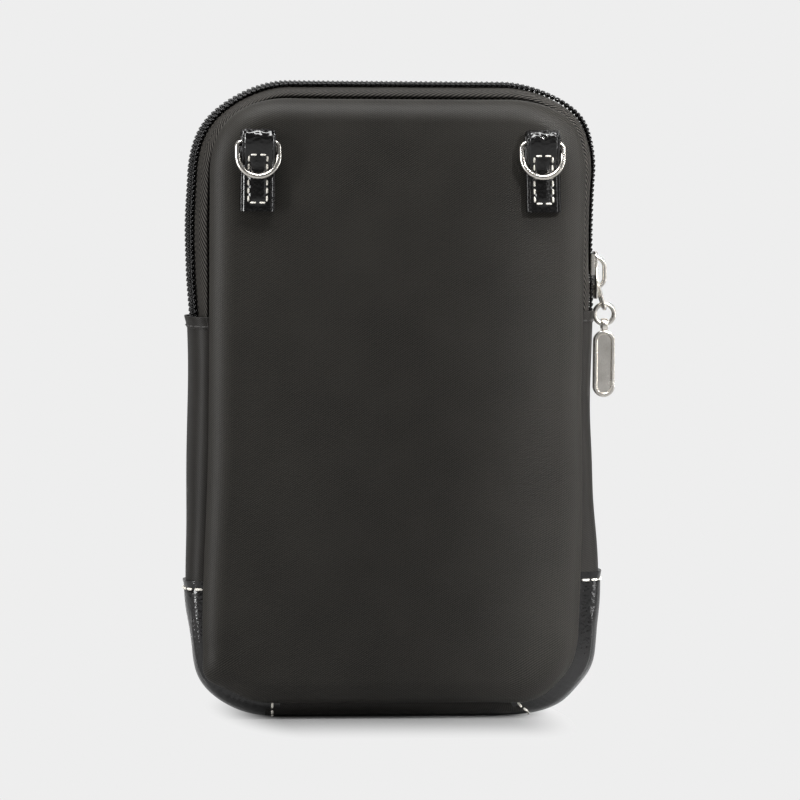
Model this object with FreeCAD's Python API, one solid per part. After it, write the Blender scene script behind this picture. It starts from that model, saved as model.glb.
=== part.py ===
import FreeCAD, Part
import math
import os

# Phone pouch of padded nylon with a coil zip over its top, leather corners and two strap rings.
# The ring side faces -Y, +Z is up, and the pouch stands on the middle of its base at the origin.
# All lengths are in millimetres and all angles in degrees.

# Pouch body
pouch_width = 118.0
pouch_height = 186.0
pouch_depth = 31.0
top_corner_radius = 28.0
bottom_corner_radius = 25.0
shoulder_radius = 5.5

# Cloth, foam and leather
nylon_thickness = 0.9
flange_width = 3.5
panel_rise = 3.5
panel_skin = 0.7
panel_edge_radius = 3.2
lining_thickness = 0.5
lining_lap = 1.7
lining_gap = 0.2
lining_side_gap = 0.5
layer_gap = 0.1
leather_thickness = 1.3
patch_proud = 0.5
patch_top = 40.0

# Fold across the front, where both ends of the zip are sewn in
zip_drop = 70.5
fold_gap = 0.3
hem_thickness = 0.5
hem_height = 3.0
hem_turn = 75.0
hem_seat_gap = 0.05

# Zip chain
tape_thickness = 0.6
tape_edge = 1.0
coil_height = 1.8
tooth_pitch = 1.45
tooth_root_reach = 2.0
tooth_head_reach = 0.9
tooth_flare = 0.15
tooth_gap = 0.075
tooth_seat_gap = 0.03

# Zip slider, its wide end towards the sewn-in end of the zip
slider_length = 13.8
slider_above_fold = 6.7
slider_gap = 0.25
slider_plate = 1.0
slider_flange = 0.8
slider_flange_length = 6.9
slider_wide_length = 4.8
slider_taper_length = 4.5
slider_corner_radius = 1.2
slider_edge_radius = 0.3
neck_half_width = 0.7
neck_length = 4.3
neck_point = 1.3

# Bail on the slider and the pull that hangs from it
bail_length = 9.9
bail_top_inset = 1.3
bail_thickness = 1.2
bail_width = 1.8
bail_corner_radius = 3.4
bail_head_room = 1.0
pull_gap = 0.25
link_wire = 1.0
link_length = 8.0
link_corner_radius = 1.0
link_side_gap = 0.5
ring_wire = 1.4
ring_outside = 7.2
hang_gap = 0.15
eye_width = 1.8
eye_bore_gap = 0.55
eye_wall = 0.75
tab_width = 6.4
tab_length = 19.6
tab_thickness = 2.2
tab_edge_radius = 0.4
tab_rim = 1.1
tab_recess = 0.35

# Leather strap tabs and the rings that they hold
strap_tab_inset = 17.3
strap_tab_width = 10.0
strap_tab_length = 20.0
strap_thickness = 1.3
strap_fold_length = 7.3
strap_loop_slack = 1.3
ring_bar_below_top = 18.0
d_ring_wire = 1.6
d_ring_bore_gap = 0.45
d_ring_side_gap = 0.25
d_ring_drop = 10.0
d_ring_corner_radius = 1.5
d_ring_face_gap = 0.3

# Places that follow from the sizes
half_width = pouch_width / 2
fold_height = pouch_height - zip_drop
panel_face_depth = pouch_depth / 2
seam_depth = panel_face_depth - panel_rise
seam_level = -shoulder_radius
flange_level = seam_level - flange_width
tape_level = -coil_height
lining_depth = seam_depth - leather_thickness - lining_side_gap
lining_level = -leather_thickness - lining_gap
lining_inset = shoulder_radius + lining_lap

depth_axis = FreeCAD.Vector(0, 1, 0)
width_axis = FreeCAD.Vector(1, 0, 0)
origin = FreeCAD.Vector(0, 0, 0)
length_tolerance = 1e-6


def closed_face(outline, place):
    """Flat face inside an outline of points, each an end point or a (middle, end) pair for an arc."""
    edges = []
    start = place(outline[0])
    here = start
    for step in outline[1:] + [outline[0]]:
        if isinstance(step[0], tuple):
            middle, there = place(step[0]), place(step[1])
            edges.append(Part.Arc(here, middle, there).toShape())
        else:
            there = place(step)
            if there.distanceToPoint(here) > length_tolerance:
                edges.append(Part.makeLine(here, there))
        here = there
    return Part.Face(Part.Wire(edges))


def joined(pieces):
    """One solid from pieces that meet face to face."""
    return pieces[0].multiFuse(pieces[1:]).removeSplitter().Solids[0]


def straight(start_x, start_z, end_x, end_z):
    """Straight run of a path in the XZ plane."""
    return FreeCAD.Vector(start_x, 0, start_z), FreeCAD.Vector(end_x, 0, end_z), None, 0.0


def bend(start_x, start_z, centre_x, centre_z, turn=90.0):
    """Clockwise bend of a path in the XZ plane, seen with +X to the right."""
    start, centre = FreeCAD.Vector(start_x, 0, start_z), FreeCAD.Vector(centre_x, 0, centre_z)
    end = centre + FreeCAD.Rotation(depth_axis, turn).multVec(start - centre)
    return start, end, centre, turn


def outward_at(run, point):
    """Direction away from the middle of the pouch at a point of a run."""
    start, end, centre, turn = run
    if centre is None:
        along = end - start
        return FreeCAD.Vector(-along.z, 0, along.x).normalize()
    return (point - centre).normalize()


def swept(profile, path):
    """Solid of a (depth, outward) profile carried along straight runs and bends."""
    pieces = []
    for run in path:
        start, end, centre, turn = run
        outward = outward_at(run, start)
        face = closed_face(profile, lambda at: start + depth_axis * at[0] + outward * at[1])
        if centre is None:
            pieces.append(face.extrude(end - start))
        else:
            pieces.append(face.revolve(centre, depth_axis, turn))
    return joined(pieces)


def arc_point(centre, radius, angle):
    """Point of a profile on a circle, the angle counted from outward towards +depth."""
    turn = math.radians(angle)
    return centre[0] + radius * math.sin(turn), centre[1] + radius * math.cos(turn)


def channel_profile(crown_level, side_depth, thickness, leg_level):
    """U section: flat crown, rounded shoulders down to the seam, and legs that turn in along it."""
    radius = crown_level - seam_level
    flat = side_depth - radius
    inner = radius - thickness
    left, right = (-flat, seam_level), (flat, seam_level)
    return [
        (-side_depth, leg_level),
        (-side_depth, seam_level),
        (arc_point(left, radius, -45), (-flat, crown_level)),
        (flat, crown_level),
        (arc_point(right, radius, 45), (side_depth, seam_level)),
        (side_depth, leg_level),
        (side_depth - thickness, leg_level),
        (side_depth - thickness, seam_level),
        (arc_point(right, inner, 45), (flat, crown_level - thickness)),
        (-flat, crown_level - thickness),
        (arc_point(left, inner, -45), (thickness - side_depth, seam_level)),
        (thickness - side_depth, leg_level),
    ]


def tape_profile(side):
    """Half of the zip tape on one side: flat beside the coil, then over the shoulder to the seam."""
    radius = tape_level - seam_level
    inner = radius - tape_thickness
    flat = seam_depth - radius
    centre = (side * flat, seam_level)
    inside = side * (seam_depth - tape_thickness)
    return [
        (side * tape_edge, tape_level),
        (side * flat, tape_level),
        (arc_point(centre, radius, side * 45), (side * seam_depth, seam_level)),
        (side * seam_depth, flange_level),
        (inside, flange_level),
        (inside, seam_level),
        (arc_point(centre, inner, side * 45), (side * flat, tape_level - tape_thickness)),
        (side * tape_edge, tape_level - tape_thickness),
    ]


def hem_profile():
    """Folded cloth edge that lies on the crown and shoulders of the gusset."""
    flat = seam_depth - shoulder_radius
    left, right = (-flat, seam_level), (flat, seam_level)
    inner = shoulder_radius + hem_seat_gap
    outer = inner + hem_thickness
    half_turn = hem_turn / 2
    return [
        arc_point(left, outer, -hem_turn),
        (arc_point(left, outer, -half_turn), arc_point(left, outer, 0)),
        arc_point(right, outer, 0),
        (arc_point(right, outer, half_turn), arc_point(right, outer, hem_turn)),
        arc_point(right, inner, hem_turn),
        (arc_point(right, inner, half_turn), arc_point(right, inner, 0)),
        arc_point(left, inner, 0),
        (arc_point(left, inner, -half_turn), arc_point(left, inner, -hem_turn)),
    ]


def outline_runs(inset):
    """Runs round the pouch's outline, moved inwards by inset, clockwise from the foot of the left side."""
    half = half_width - inset
    low, high = inset, pouch_height - inset
    top_side = half_width - top_corner_radius
    low_side = half_width - bottom_corner_radius
    top_centre = pouch_height - top_corner_radius
    return [
        straight(-half, bottom_corner_radius, -half, top_centre),
        bend(-half, top_centre, -top_side, top_centre),
        straight(-top_side, high, top_side, high),
        bend(top_side, high, top_side, top_centre),
        straight(half, top_centre, half, bottom_corner_radius),
        bend(half, bottom_corner_radius, low_side, bottom_corner_radius),
        straight(low_side, low, -low_side, low),
        bend(-low_side, low, -low_side, bottom_corner_radius),
    ]


def panel_face(inset, depth):
    """Face of the pouch's outline, moved inwards by inset, at a depth."""
    edges = []
    for start, end, centre, turn in outline_runs(inset):
        if centre is None:
            edges.append(Part.makeLine(start, end))
        else:
            middle = centre + FreeCAD.Rotation(depth_axis, turn / 2).multVec(start - centre)
            edges.append(Part.Arc(start, middle, end).toShape())
    face = Part.Face(Part.Wire(edges))
    face.translate(depth_axis * depth)
    return face


def panel_slab(inset, near, far, edge_radius):
    """Slab of the outline between two depths, with the edge at the far depth rounded."""
    slab = panel_face(inset, near).extrude(depth_axis * (far - near))
    rim = [edge for edge in slab.Edges
           if all(abs(corner.Y - far) < length_tolerance for corner in edge.Vertexes)]
    return slab.makeFillet(edge_radius, rim)


def panel_layers(side):
    """Skin, foam and lining of the panel on one side of the pouch."""
    seam = side * seam_depth
    face = side * panel_face_depth
    skin_face = side * (panel_face_depth - panel_skin)
    foam_face = skin_face - side * layer_gap
    skin_inset = shoulder_radius + panel_skin
    skin_radius = panel_edge_radius - panel_skin
    skin = panel_slab(shoulder_radius, seam, face, panel_edge_radius)
    skin = skin.cut(panel_slab(skin_inset, seam, skin_face, skin_radius))

    foam = panel_slab(skin_inset + layer_gap, seam, foam_face, skin_radius - layer_gap)
    heart_inset = shoulder_radius + flange_width + patch_proud + layer_gap
    heart = panel_face(heart_inset, seam).extrude(depth_axis * (side * lining_depth - seam))

    lining = panel_face(lining_inset, side * lining_depth)
    lining = lining.extrude(depth_axis * (-side * lining_thickness))
    return skin.Solids[0], joined([foam, heart]), lining


def cut_at_fold(shape):
    """Parts of a shape below and above the fold, half the fold's gap away from it."""
    margin = pouch_depth
    parts = []
    for low, high in ((-margin, fold_height - fold_gap / 2),
                      (fold_height + fold_gap / 2, pouch_height + margin)):
        block = Part.makeBox(pouch_width + 2 * margin, 4 * margin, high - low)
        block.translate(FreeCAD.Vector(-half_width - margin, -2 * margin, low))
        parts.append(shape.common(block).Solids[0])
    return parts


def zip_path():
    """Path of the zip from its left end, over the top, down to its right end."""
    left, top_left, top, top_right, right = outline_runs(0)[:5]
    return [
        straight(-half_width, fold_height, left[1].x, left[1].z),
        top_left,
        top,
        top_right,
        straight(half_width, right[0].z, half_width, fold_height),
    ]


def run_length(run):
    """Length of a run along the pouch's outline."""
    start, end, centre, turn = run
    if centre is None:
        return start.distanceToPoint(end)
    return math.radians(turn) * start.distanceToPoint(centre)


def zip_frame(path, distance):
    """Point of the zip's path at a distance from its start, with the outward and along directions."""
    for run in path:
        length = run_length(run)
        if distance <= length:
            break
        distance -= length
    start, end, centre, turn = run
    share = distance / length
    if centre is None:
        point = start + (end - start) * share
    else:
        point = centre + FreeCAD.Rotation(depth_axis, turn * share).multVec(start - centre)
    outward = outward_at(run, point)
    return point, outward, FreeCAD.Vector(outward.z, 0, -outward.x)


def parting(point):
    """How far a row of teeth stands aside for the slider's neck, none above its wide end."""
    wide_top = fold_height + slider_above_fold + slider_wide_length
    if point.x < 0 or point.z > wide_top:
        return 0.0
    return tooth_head_reach + neck_half_width + slider_gap


def zip_teeth(side):
    """Row of dovetail teeth on one side, which mesh with the other row half a pitch away."""
    path = zip_path()
    whole = sum(run_length(run) for run in path)
    count = int(whole / tooth_pitch) - 1
    first = (whole - count * tooth_pitch) / 2
    offset = 0.0 if side < 0 else tooth_pitch / 2
    middle_half = tooth_pitch / 4 - tooth_gap / 2
    head_half = middle_half + tooth_flare / 2
    root_half = middle_half - tooth_flare / 2 * tooth_root_reach / tooth_head_reach
    teeth = []
    for number in range(count):
        point, outward, along = zip_frame(path, first + offset + number * tooth_pitch)
        aside = side * parting(point)
        root = aside + side * tooth_root_reach
        head = aside - side * tooth_head_reach
        base = point + outward * (tape_level + tooth_seat_gap)
        outline = [(root, -root_half), (head, -head_half), (head, head_half), (root, root_half)]
        face = closed_face(outline, lambda at: base + depth_axis * at[0] + along * at[1])
        teeth.append(face.extrude(outward * (coil_height - tooth_seat_gap)))
    return Part.makeCompound(teeth)


def slider_parts():
    """Zip slider round the chain on the right side, and the bail on its outer plate."""
    foot = fold_height + slider_above_fold
    narrow = tooth_root_reach + 2 * slider_flange
    wide = narrow + tooth_head_reach + neck_half_width - slider_gap
    taper_low = slider_wide_length
    taper_high = slider_wide_length + slider_taper_length

    def plan(inset, overrun):
        """Outline of the slider seen from outside, wide at its foot."""
        low, high = -overrun, slider_length + overrun
        left = [(-wide + inset, low), (-wide + inset, taper_low),
                (-narrow + inset, taper_high), (-narrow + inset, high)]
        right = [(-across, height) for across, height in reversed(left)]
        return left + right

    def plate(outline, low, high):
        """Plate of an outline between two levels outward of the chain."""
        place = lambda at: FreeCAD.Vector(half_width + low, at[0], foot + at[1])
        return closed_face(outline, place).extrude(width_axis * (high - low))

    def rounded(solid, level):
        """Plate with its upright corners rounded and its edge at one level eased."""
        upright = [edge for edge in solid.Edges
                   if abs(edge.Vertexes[0].X - edge.Vertexes[1].X) > length_tolerance]
        solid = solid.makeFillet(slider_corner_radius, upright)
        rim = [edge for edge in solid.Edges
               if all(abs(corner.X - half_width - level) < length_tolerance for corner in edge.Vertexes)]
        return solid.makeFillet(slider_edge_radius, rim)

    plate_low = slider_gap
    plate_high = plate_low + slider_plate
    flange_foot = tape_level + slider_gap
    keel_high = tape_level - tape_thickness - slider_gap
    keel_low = keel_high - slider_plate
    body = rounded(plate(plan(0, 0), flange_foot, plate_high), plate_high)
    body = body.cut(plate(plan(slider_flange, slider_length), flange_foot - slider_plate, plate_low))
    below_flanges = [(-wide - slider_flange, -slider_length), (wide + slider_flange, -slider_length),
                     (wide + slider_flange, slider_length - slider_flange_length),
                     (-wide - slider_flange, slider_length - slider_flange_length)]
    body = body.cut(plate(below_flanges, flange_foot - slider_plate, plate_low))
    keel = rounded(plate(plan(0, 0), keel_low, keel_high), keel_low)
    neck_outline = [(-neck_half_width, slider_edge_radius), (neck_half_width, slider_edge_radius),
                    (neck_half_width, neck_length - neck_point), (0.0, neck_length),
                    (-neck_half_width, neck_length - neck_point)]
    neck = plate(neck_outline, keel_high, plate_low)
    slider = joined([body, neck, keel])

    bail_high = foot + slider_length - bail_top_inset
    bail_low = bail_high - bail_length
    inner_level = plate_high + link_wire + 2 * pull_gap + bail_head_room
    outer_level = inner_level + bail_thickness
    inner_radius = bail_corner_radius - bail_thickness

    def arch(low, high, level, radius):
        """Outline of an arch that stands on the slider's plate."""
        bow = radius * (1 - math.sqrt(0.5))
        return [(plate_high, low), (level - radius, low), ((level - bow, low + bow), (level, low + radius)),
                (level, high - radius), ((level - bow, high - bow), (level - radius, high)), (plate_high, high)]

    def bail_solid(outline):
        """Arch outline given the bail's width."""
        place = lambda at: FreeCAD.Vector(half_width + at[0], -bail_width / 2, at[1])
        return closed_face(outline, place).extrude(depth_axis * bail_width)

    bail = bail_solid(arch(bail_low, bail_high, outer_level, bail_corner_radius))
    hole = arch(bail_low + bail_thickness, bail_high - bail_thickness, inner_level, inner_radius)
    bail = bail.cut(bail_solid(hole)).Solids[0]

    # The link hangs in the bail's lower bend, or on its lower leg where the bend starts further out
    clear_of_bail = pull_gap + link_wire / 2
    pivot_level = plate_high + clear_of_bail
    into_bend = max(pivot_level - (inner_level - inner_radius), 0.0)
    slack = max(inner_radius - clear_of_bail, 0.0)
    sag = math.sqrt(max(slack ** 2 - into_bend ** 2, 0.0))
    pivot_height = bail_low + bail_thickness + max(inner_radius, clear_of_bail) - sag
    return slider, bail, FreeCAD.Vector(half_width + pivot_level, 0, pivot_height)


def wire_profile(diameter):
    """Round section of a wire, as two half circles."""
    radius = diameter / 2
    return [(-radius, 0.0), ((0.0, radius), (radius, 0.0)), ((0.0, -radius), (-radius, 0.0))]


def pull_parts(pivot):
    """Link, jump ring and tab that hang from the bail, clear of the gusset and its hem."""
    ring_radius = (ring_outside - ring_wire) / 2
    stand_off = max(ring_outside, tab_width) / 2 + hem_thickness + hem_seat_gap + pull_gap
    lean = math.degrees(math.asin((half_width + stand_off - pivot.x) / link_length))
    half_link = bail_width / 2 + link_side_gap + link_wire / 2
    side_x = half_link - link_corner_radius
    top_z, low_z = -link_corner_radius, link_corner_radius - link_length
    link = swept(wire_profile(link_wire), [
        straight(-side_x, 0.0, side_x, 0.0),
        bend(side_x, 0.0, side_x, top_z),
        straight(half_link, top_z, half_link, low_z),
        bend(half_link, low_z, side_x, low_z),
        straight(side_x, -link_length, -side_x, -link_length),
        bend(-side_x, -link_length, -side_x, low_z),
        straight(-half_link, low_z, -half_link, top_z),
        bend(-half_link, top_z, -side_x, top_z),
    ])
    link.rotate(origin, FreeCAD.Vector(0, 0, 1), 90.0)
    link.rotate(origin, depth_axis, -lean)
    link.translate(pivot)

    link_foot = pivot + FreeCAD.Rotation(depth_axis, -lean).multVec(FreeCAD.Vector(0, 0, -link_length))
    drop = ring_radius - ring_wire / 2 - link_wire / 2 - hang_gap
    ring_centre = link_foot - FreeCAD.Vector(0, 0, drop)
    ring = Part.makeTorus(ring_radius, ring_wire / 2, ring_centre, depth_axis)

    bore = ring_wire / 2 + eye_bore_gap
    eye_radius = bore + eye_wall
    ring_foot = ring_centre - FreeCAD.Vector(0, 0, ring_radius)
    eye_centre = ring_foot - FreeCAD.Vector(0, 0, eye_bore_gap / 2)
    tab_high = eye_centre.z - bore - eye_wall / 2
    half_tab = tab_width / 2

    def oblong(inset, near, far):
        """Bar with round ends, moved inwards by inset, between two depths."""
        radius = half_tab - inset
        high, low = tab_high - half_tab, tab_high - tab_length + half_tab
        outline = [(-radius, low), (-radius, high), ((0.0, high + radius), (radius, high)), (radius, low),
                   ((0.0, low - radius), (-radius, low))]
        place = lambda at: FreeCAD.Vector(ring_centre.x + at[0], near, at[1])
        return closed_face(outline, place).extrude(depth_axis * (far - near))

    face = tab_thickness / 2
    bar = oblong(0.0, -face, face)
    rims = [edge for edge in bar.Edges
            if all(abs(abs(corner.Y) - face) < length_tolerance for corner in edge.Vertexes)
            and abs(edge.Vertexes[0].Y - edge.Vertexes[-1].Y) < length_tolerance]
    bar = bar.makeFillet(tab_edge_radius, rims)
    for near, far in ((-face - tab_recess, tab_recess - face), (face - tab_recess, face + tab_recess)):
        bar = bar.cut(oblong(tab_rim, near, far))
    eye_start = eye_centre - width_axis * (eye_width / 2)
    eye = Part.makeCylinder(eye_radius, eye_width, eye_start, width_axis)
    bore_cut = Part.makeCylinder(bore, eye_width, eye_start, width_axis)
    tab = bar.fuse(eye).cut(bore_cut).removeSplitter().Solids[0]
    return link, ring, tab, link_foot, ring_foot


def strap_parts(centre_x):
    """Leather strap folded round a ring's bar and sewn to the panel, and the ring hanging in front of it."""
    bar_height = pouch_height - ring_bar_below_top
    loop_height = bar_height + strap_loop_slack
    bore = d_ring_wire / 2 + d_ring_bore_gap
    outer = bore + strap_thickness
    loop_depth = -panel_face_depth - outer
    front = -panel_face_depth - 2 * strap_thickness
    fold_foot = loop_height - strap_fold_length
    strap_foot = bar_height - strap_tab_length
    half_tab = strap_tab_width / 2

    def across(outline):
        """Prism of a (depth, height) outline over the width of the strap."""
        place = lambda at: FreeCAD.Vector(centre_x - half_tab, at[0], at[1])
        return closed_face(outline, place).extrude(width_axis * strap_tab_width)

    strap = across([
        (-panel_face_depth, strap_foot),
        (-panel_face_depth, loop_height),
        ((loop_depth, loop_height + outer), (loop_depth - outer, loop_height)),
        (front, fold_foot),
        (front, strap_foot),
    ])
    eye = across([
        (loop_depth + bore, loop_height),
        ((loop_depth, loop_height + bore), (loop_depth - bore, loop_height)),
        (front + strap_thickness, fold_foot),
    ])
    strap = strap.cut(eye).Solids[0]

    half_ring = half_tab + d_ring_side_gap + d_ring_wire / 2
    side_x = half_ring - d_ring_corner_radius
    side_top, bow_z = -d_ring_corner_radius, half_ring - d_ring_drop
    ring = swept(wire_profile(d_ring_wire), [
        straight(-side_x, 0.0, side_x, 0.0),
        bend(side_x, 0.0, side_x, side_top),
        straight(half_ring, side_top, half_ring, bow_z),
        bend(half_ring, bow_z, 0.0, bow_z, 180.0),
        straight(-half_ring, bow_z, -half_ring, side_top),
        bend(-half_ring, side_top, -side_x, side_top),
    ])

    # The bar hangs in the middle of the loop where the strap's layers draw together
    half_gap = bore * (1 - strap_loop_slack / strap_fold_length)
    bar_depth = -panel_face_depth - strap_thickness - half_gap
    crossing = math.sqrt(half_ring ** 2 - half_tab ** 2) - bow_z
    reach = bar_depth - front + d_ring_wire / 2 + d_ring_face_gap
    ring.rotate(origin, width_axis, -math.degrees(math.atan2(reach, crossing)))
    bar = FreeCAD.Vector(centre_x, bar_depth, bar_height)
    ring.translate(bar)
    return strap, ring, bar


def build():
    """Every piece of the pouch by its name."""
    pieces = {}
    pieces["back_panel"], pieces["back_foam"], pieces["back_lining"] = panel_layers(-1)
    for name, layer in zip(("panel", "foam", "lining"), panel_layers(1)):
        pieces[f"front_{name}_lower"], pieces[f"front_{name}_upper"] = cut_at_fold(layer)

    low_side = half_width - bottom_corner_radius
    gusset = channel_profile(0.0, seam_depth, nylon_thickness, flange_level)
    pieces["gusset_left"] = swept(gusset, [straight(-half_width, patch_top, -half_width, fold_height)])
    pieces["gusset_right"] = swept(gusset, [straight(half_width, fold_height, half_width, patch_top)])
    pieces["gusset_bottom"] = swept(gusset, [straight(low_side, 0.0, -low_side, 0.0)])

    # The leather stands proud of the sides and is flush with the cloth under the base
    patch = channel_profile(patch_proud, seam_depth, leather_thickness, flange_level)
    corner_z = bottom_corner_radius + patch_proud
    pieces["corner_patch_right"] = swept(patch, [
        straight(half_width, patch_top, half_width, corner_z),
        bend(half_width, corner_z, low_side, corner_z),
    ])
    pieces["corner_patch_left"] = swept(patch, [
        bend(-low_side, patch_proud, -low_side, corner_z),
        straight(-half_width, corner_z, -half_width, patch_top),
    ])

    runs = outline_runs(0)
    lining_leg = layer_gap - lining_inset
    lining = channel_profile(lining_level, lining_depth, lining_thickness, lining_leg)
    pieces["gusset_lining"] = swept(lining, [
        straight(half_width, fold_height, half_width, bottom_corner_radius),
        runs[5],
        runs[6],
        runs[7],
        straight(-half_width, bottom_corner_radius, -half_width, fold_height),
    ])

    hem = hem_profile()
    hem_foot = fold_height - hem_height
    pieces["zip_hem_left"] = swept(hem, [straight(-half_width, hem_foot, -half_width, fold_height)])
    pieces["zip_hem_right"] = swept(hem, [straight(half_width, fold_height, half_width, hem_foot)])

    for name, side in (("back", -1), ("front", 1)):
        pieces[f"zip_tape_{name}"] = swept(tape_profile(side), zip_path())
        pieces[f"zip_coil_{name}"] = zip_teeth(side)

    pieces["zip_slider"], pieces["slider_bail"], pivot = slider_parts()
    link, ring, tab, link_foot, ring_foot = pull_parts(pivot)
    pieces["pull_link"], pieces["pull_ring"], pieces["pull_tab"] = link, ring, tab
    axes = {"link": pivot, "pull ring": link_foot, "pull tab": ring_foot}

    for name, side in (("left", -1), ("right", 1)):
        strap, d_ring, bar = strap_parts(side * (half_width - strap_tab_inset))
        pieces[f"strap_tab_{name}"], pieces[f"d_ring_{name}"] = strap, d_ring
        axes[f"{name} ring"] = bar
    return pieces, axes


os.makedirs("parts", exist_ok=True)
built, turning_points = build()
for node, shape in built.items():
    shape.exportStep(f"parts/{node}.step")
    print(node, "solids", len(shape.Solids), "volume", round(shape.Volume, 2), "valid", shape.isValid())
for name, place in turning_points.items():
    print(name, "turns at", [round(value, 3) for value in place])
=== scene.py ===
import functools
import math

import bmesh
import bpy
import numpy as np
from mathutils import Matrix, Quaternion, Vector


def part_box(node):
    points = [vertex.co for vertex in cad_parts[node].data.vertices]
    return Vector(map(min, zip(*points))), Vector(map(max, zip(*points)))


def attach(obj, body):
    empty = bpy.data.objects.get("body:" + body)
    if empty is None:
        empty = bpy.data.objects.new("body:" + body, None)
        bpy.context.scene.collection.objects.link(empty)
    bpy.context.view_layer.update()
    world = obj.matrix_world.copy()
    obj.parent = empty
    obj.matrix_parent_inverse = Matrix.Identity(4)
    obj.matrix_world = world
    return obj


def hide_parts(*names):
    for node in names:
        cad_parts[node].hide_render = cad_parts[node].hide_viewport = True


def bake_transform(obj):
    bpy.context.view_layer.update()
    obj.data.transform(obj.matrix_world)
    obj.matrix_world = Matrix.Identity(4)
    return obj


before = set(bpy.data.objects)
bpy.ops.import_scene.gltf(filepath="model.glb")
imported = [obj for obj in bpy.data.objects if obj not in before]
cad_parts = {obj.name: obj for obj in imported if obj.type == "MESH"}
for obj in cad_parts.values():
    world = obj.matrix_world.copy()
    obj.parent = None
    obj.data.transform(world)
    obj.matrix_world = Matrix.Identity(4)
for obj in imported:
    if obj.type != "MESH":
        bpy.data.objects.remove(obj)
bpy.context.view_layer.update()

# Phone pouch of padded nylon with a coil zip over its top, leather corners and two strap rings.
# The ring side faces -Y, +Z is up, and the pouch stands on the middle of its base at the origin.
# Lengths are in millimetres, and a piece is scaled to metres when its mesh is made.
MILLIMETRE = 0.001


def low(name):
    """Lowest corner of a solid of the frame, in millimetres."""
    return np.array(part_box(name)[0]) / MILLIMETRE


def high(name):
    """Highest corner of a solid of the frame, in millimetres."""
    return np.array(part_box(name)[1]) / MILLIMETRE


# A span is where a share starts to rise, is full, starts to fade and ends; fades are a start and an end;
# a bell is its size, its place and its spread.

# Pouch body
half_width = high("gusset_right")[0]
pouch_height = high("zip_coil_back")[2]
seam_depth = high("gusset_right")[1]
face_depth = high("front_panel_lower")[1]
fold_height = high("gusset_right")[2]
top_corner_radius = 28.0
bottom_corner_radius = 25.0
shoulder = 5.5
shoulder_squareness = 0.8
seam_sink = 1.8
seam_leg = 2.5
nylon_thickness = 0.9
lining_depth = high("front_lining_lower")[1]
lining_thickness = 0.4
lining_inset = 7.2
lining_leg = 1.0
lining_drop = 1.9

# Padded panels
panel_inset = 4.4
gather_inset = 19.0
edge_fade = 4.0
tuck_radius = 1.0
roll_radius = 8.0
roll_turns = (-60.0, 90.0)
roll_fades = np.radians((10.0, 50.0))
panel_crown = 1.0
crown_half_width = 54.0
crown_half_height = 90.0
slack_rise = 0.1
slack_waves = ((13.0, 31.0, 0.7), (-47.0, 23.0, 0.0))
plateau_bell = (1.4, 85.0, 75.0)
plateau_span = (-50.0, -10.0, 27.0, 50.0)
dent_width = 9.0
dent_height = 15.0

# How the soft pieces have settled; each side of the gusset swells by bells up its height
foot_twist = 0.135
twist_fades = (20.0, 85.0)
seam_fades = (7.0, 12.0)
left_swells = ((-2.2, 186, 7), (1.0, 175, 11), (1.3, 143, 17), (0.5, 118, 12), (0.5, 70, 24), (0.6, 40, 13),
               (-1.5, 22, 8), (0.6, 8, 6))
right_swells = ((0.5, 166, 8), (-0.55, 143, 16), (-0.2, 110, 20), (-0.3, 91, 13), (0.5, 74, 12),
                (2.8, 46, 18), (1.7, 30, 12), (3.4, 12, 9), (7.0, 0, 6))
right_stretch = ((1.15, 150, 50), (4.2, 179, 9))
top_sag = 0.5
sag_start = 165.0

# Leather corners; their ends lie past the top of the side's straight run and past the bend
patch_top = high("corner_patch_right")[2]
patch_proud = high("corner_patch_right")[0] - half_width
patch_ends = {"left": (0.0, 2.6), "right": (2.5, -2.2)}
patch_lap = 2.0
base_lap = 4.0
patch_widening = 0.2
leather_thickness = 1.3
proud_share = 0.3
lip_height = 0.3
lip_spread = 1.2
side_groove = 0.16
base_groove = 0.12
groove_spread = 0.5
corner_seam_inset = 2.4
corner_stitch_spacing = 3.3
pressed_thread = 0.4
gather_sink = 0.5
gather_depths = (7.0, 10.5, 11.2, 11.6)
gather_span = (6.0, 16.0, 28.0, 38.0)
gather_rate = 1.35
gather_drift = 0.8
gather_drift_rate = 0.7
ridge_bell = (0.6, 8.4, 0.55)
ridge_middle = 6.0
ridge_fades = (14.0, 6.0)

# Hems
hem_height = 3.5
hem_laps = {"left": 1.4, "right": 3.4}
hem_lifts = {"left": 0.55, "right": 0.15}
hem_level = 0.2
hem_widening = 0.1
hem_leg = -1.2
hem_thickness = 0.5
hem_seam_inset = 0.7
hem_seam_level = 0.12
hem_stitch_spacing = 2.9

# Zip chain
tooth_pitch = 1.45
filament = 0.6
first_loop = 0.4
coil_middle = 1.0
coil_half_width = 1.45
coil_half_height = 0.48
coil_step_share = 0.85
coil_step_fades = (0.3, 0.7)
cord_shift = 0.35
cord_half_width = 0.75
cord_half_height = 0.3
chain_level = -0.78
left_tilt = math.radians(13.0)
top_tilt = math.radians(5.0)
left_shift = -0.6
end_dive = 0.8
dive_start = -1.0
left_dive_length = 15.0
right_dive_length = 5.0
part_start = 4.8
part_length = 4.0
part_reach = 1.85
tape_level = -1.58
tape_thickness = 0.6
tape_overlap = 2.0
tape_edge = 0.5
tape_flat = 2.9
tape_leaving = 7.0
tape_sink = 3.0
tape_drop = 4.7
tape_turn = 6.0
tape_fall = 4.0
tape_legs = ((-0.5, -0.7), (-0.3, -1.6), (1.4, -2.9))

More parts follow.
